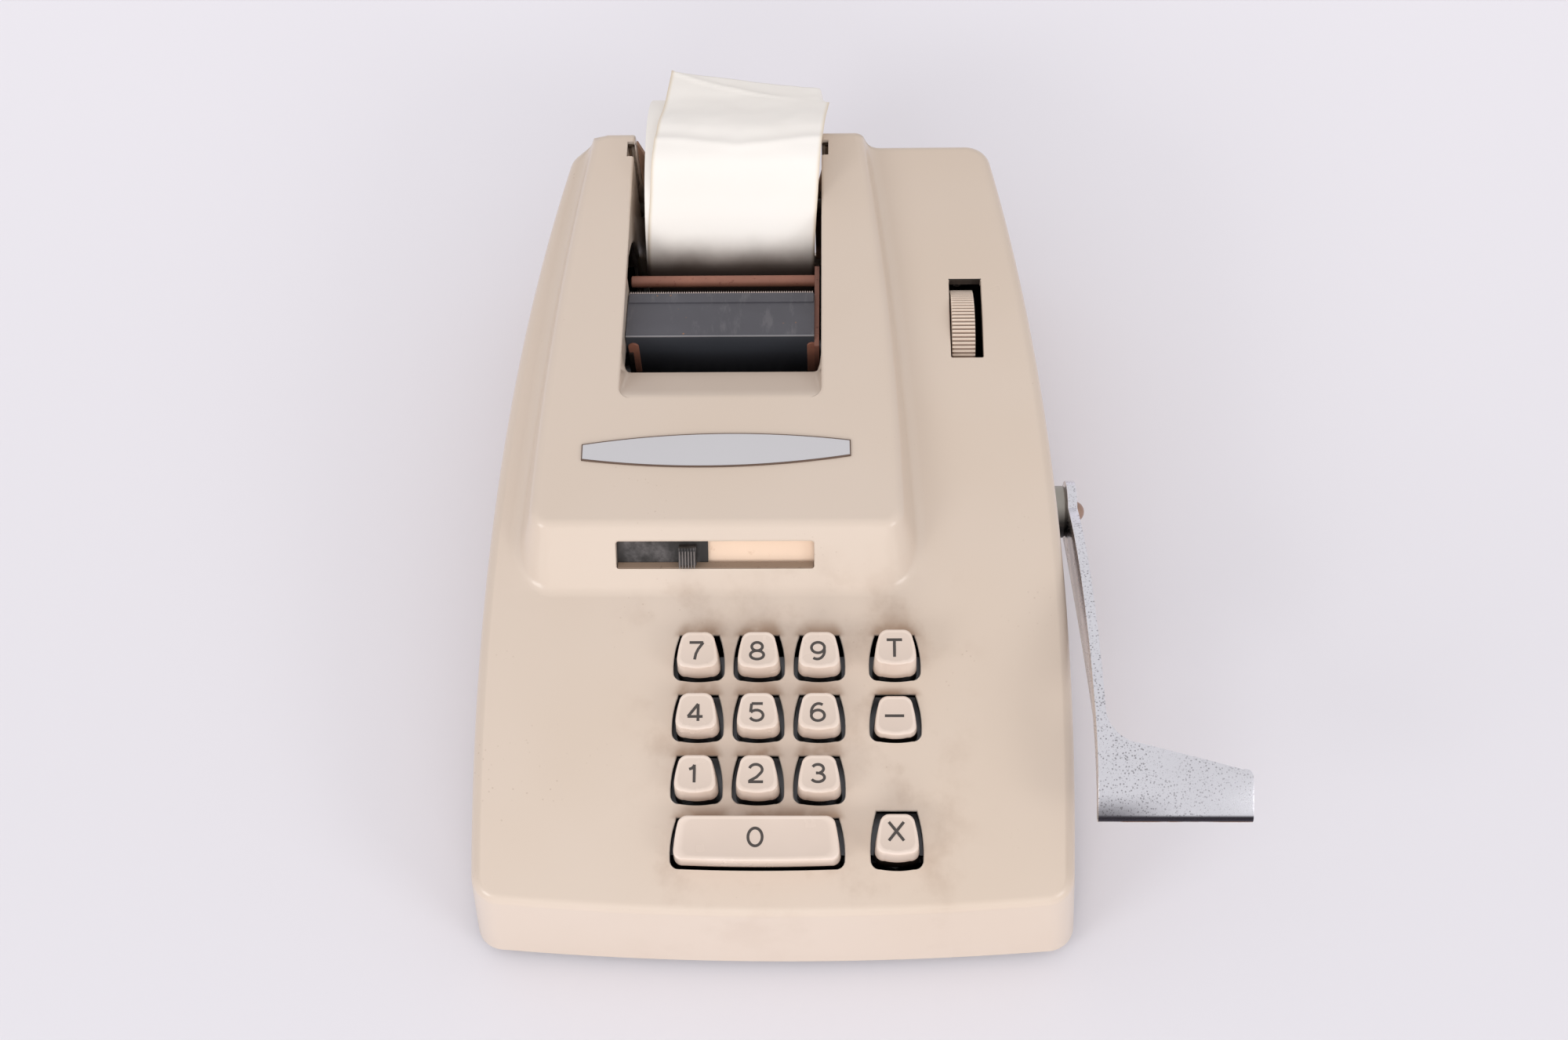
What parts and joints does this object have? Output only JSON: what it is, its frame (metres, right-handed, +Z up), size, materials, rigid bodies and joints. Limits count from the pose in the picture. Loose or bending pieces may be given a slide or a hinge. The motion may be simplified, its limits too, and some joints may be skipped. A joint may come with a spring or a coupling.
{
  "type": "adding machine",
  "caption": "Hand-lever ten-key adding machine with an arched moulded cover, raised paper hump, sprung keys, paper roll and tape, finger wheel and chrome lever.",
  "frame": {"origin": "on the table, under the middle of the machine's bounding box", "axes": "+X to the right, towards the lever; +Y to the rear, towards the paper roll; +Z up"},
  "size_m": [0.2425, 0.3082, 0.1003],
  "materials": {
    "housing": "glossy pinkish-beige moulded plastic",
    "key_plastic": "glossy pale cream plastic",
    "dark_base": "black enamel on sheet steel",
    "foot_rubber": "soft black rubber",
    "screw_steel": "plated steel",
    "plate_metal": "satin silver-grey metal, bare",
    "frame_steel": "zinc-plated sheet steel",
    "bush_brass": "turned brass",
    "red_enamel": "red-brown enamel",
    "black_enamel": "black enamel",
    "blade_steel": "ground edge",
    "platen_rubber": "hard black rubber",
    "wheel_plastic": "cream plastic with fine ribs",
    "slide_black": "black",
    "scale_cream": "warm cream strip",
    "chrome": "worn chrome plate with fine pitting",
    "hub_black": "dark oxide",
    "screw_brown": "brown oxidised screw head",
    "paper": "matt paper, yellowed at its edges"
  },
  "bodies": {
    "case": {"top_cover": "housing", "base_plate": "dark_base", "rubber_feet": "foot_rubber", "cover_screws": "screw_steel", "name_plate": "plate_metal", "left_frame": "frame_steel", "right_frame": "frame_steel", "frame_tie_bars": "frame_steel", "shaft_bushes": "bush_brass", "key_guide_upper": "frame_steel", "key_guide_lower": "frame_steel", "key_springs": "screw_steel", "carriage_rails": "frame_steel", "indicator_scale": "scale_cream", "tear_plate": "black_enamel", "tear_blade": "blade_steel", "paper_guide_bar": "red_enamel", "platen_brackets": "red_enamel", "paper_spindle": "frame_steel", "paper_tape": "paper"},
    "carriage": {"pin_carriage": "frame_steel", "indicator_slide": "slide_black"},
    "platen": {"platen_roller": "platen_rubber", "platen_shaft": "frame_steel", "feed_wheel": "wheel_plastic"},
    "printer": {"type_shaft": "frame_steel", "type_sectors": "frame_steel", "type_gear": "bush_brass"},
    "crank": {"main_shaft": "frame_steel", "drive_gear": "bush_brass", "crank_hub": "hub_black", "crank_arm": "chrome", "crank_screw": "screw_brown"},
    "supply_roll": {"paper_roll": "paper"},
    "key_1": {"key_cap_1": "key_plastic", "key_stem_1": "frame_steel"},
    "key_2": {"key_cap_2": "key_plastic", "key_stem_2": "frame_steel"},
    "key_3": {"key_cap_3": "key_plastic", "key_stem_3": "frame_steel"},
    "key_4": {"key_cap_4": "key_plastic", "key_stem_4": "frame_steel"},
    "key_5": {"key_cap_5": "key_plastic", "key_stem_5": "frame_steel"},
    "key_6": {"key_cap_6": "key_plastic", "key_stem_6": "frame_steel"},
    "key_7": {"key_cap_7": "key_plastic", "key_stem_7": "frame_steel"},
    "key_8": {"key_cap_8": "key_plastic", "key_stem_8": "frame_steel"},
    "key_9": {"key_cap_9": "key_plastic", "key_stem_9": "frame_steel"},
    "key_0": {"key_cap_0": "key_plastic", "key_stem_0": "frame_steel"},
    "key_total": {"key_cap_total": "key_plastic", "key_stem_total": "frame_steel"},
    "key_minus": {"key_cap_minus": "key_plastic", "key_stem_minus": "frame_steel"},
    "key_repeat": {"key_cap_repeat": "key_plastic", "key_stem_repeat": "frame_steel"}
  },
  "joints": [
    {"name": "press_1", "type": "slide", "parent": "case", "child": "key_1", "axis": [0, 0.2296, -0.9733], "range_m": [0, 0.004], "stiffness_N_per_m": 150, "springref_m": -0.002, "deforming": ["key_springs"]},
    {"name": "press_2", "type": "slide", "parent": "case", "child": "key_2", "axis": [0, 0.2296, -0.9733], "range_m": [0, 0.004], "stiffness_N_per_m": 150, "springref_m": -0.002, "deforming": ["key_springs"]},
    {"name": "press_3", "type": "slide", "parent": "case", "child": "key_3", "axis": [0, 0.2296, -0.9733], "range_m": [0, 0.004], "stiffness_N_per_m": 150, "springref_m": -0.002, "deforming": ["key_springs"]},
    {"name": "press_4", "type": "slide", "parent": "case", "child": "key_4", "axis": [0, 0.2296, -0.9733], "range_m": [0, 0.004], "stiffness_N_per_m": 150, "springref_m": -0.002, "deforming": ["key_springs"]},
    {"name": "press_5", "type": "slide", "parent": "case", "child": "key_5", "axis": [0, 0.2296, -0.9733], "range_m": [0, 0.004], "stiffness_N_per_m": 150, "springref_m": -0.002, "deforming": ["key_springs"]},
    {"name": "press_6", "type": "slide", "parent": "case", "child": "key_6", "axis": [0, 0.2296, -0.9733], "range_m": [0, 0.004], "stiffness_N_per_m": 150, "springref_m": -0.002, "deforming": ["key_springs"]},
    {"name": "press_7", "type": "slide", "parent": "case", "child": "key_7", "axis": [0, 0.2296, -0.9733], "range_m": [0, 0.004], "stiffness_N_per_m": 150, "springref_m": -0.002, "deforming": ["key_springs"]},
    {"name": "press_8", "type": "slide", "parent": "case", "child": "key_8", "axis": [0, 0.2296, -0.9733], "range_m": [0, 0.004], "stiffness_N_per_m": 150, "springref_m": -0.002, "deforming": ["key_springs"]},
    {"name": "press_9", "type": "slide", "parent": "case", "child": "key_9", "axis": [0, 0.2296, -0.9733], "range_m": [0, 0.004], "stiffness_N_per_m": 150, "springref_m": -0.002, "deforming": ["key_springs"]},
    {"name": "press_0", "type": "slide", "parent": "case", "child": "key_0", "axis": [0, 0.2296, -0.9733], "range_m": [0, 0.004], "stiffness_N_per_m": 150, "springref_m": -0.002, "deforming": ["key_springs"]},
    {"name": "press_total", "type": "slide", "parent": "case", "child": "key_total", "axis": [0, 0.2296, -0.9733], "range_m": [0, 0.004], "stiffness_N_per_m": 150, "springref_m": -0.002, "deforming": ["key_springs"]},
    {"name": "press_minus", "type": "slide", "parent": "case", "child": "key_minus", "axis": [0, 0.2296, -0.9733], "range_m": [0, 0.004], "stiffness_N_per_m": 150, "springref_m": -0.002, "deforming": ["key_springs"]},
    {"name": "press_repeat", "type": "slide", "parent": "case", "child": "key_repeat", "axis": [0, 0.2296, -0.9733], "range_m": [0, 0.004], "stiffness_N_per_m": 150, "springref_m": -0.002, "deforming": ["key_springs"]},
    {"name": "carriage_travel", "type": "slide", "parent": "case", "child": "carriage", "axis": [1, 0, 0], "range_m": [0, 0.0215]},
    {"name": "platen_turn", "type": "hinge", "parent": "case", "child": "platen", "pos_m": [-0.02275, 0.0486, 0.058], "axis": [1, 0, 0], "continuous": true},
    {"name": "crank_turn", "type": "hinge", "parent": "case", "child": "crank", "pos_m": [0.07525, -0.0064, 0.0379], "axis": [1, 0, 0], "range_deg": [0, 22], "stiffness_Nm_per_rad": 0.5, "springref_deg": -34.38},
    {"name": "printer_turn", "type": "hinge", "parent": "case", "child": "printer", "pos_m": [-0.02275, 0.0219, 0.0279], "axis": [1, 0, 0], "range_deg": [-33, 0]},
    {"name": "roll_turn", "type": "hinge", "parent": "case", "child": "supply_roll", "pos_m": [-0.06935, 0.1151, 0.056], "axis": [1, 0, 0], "continuous": true}
  ],
  "couplings": [
    {"joint": "printer_turn", "follows": "crank_turn", "ratio": -1.5}
  ]
}
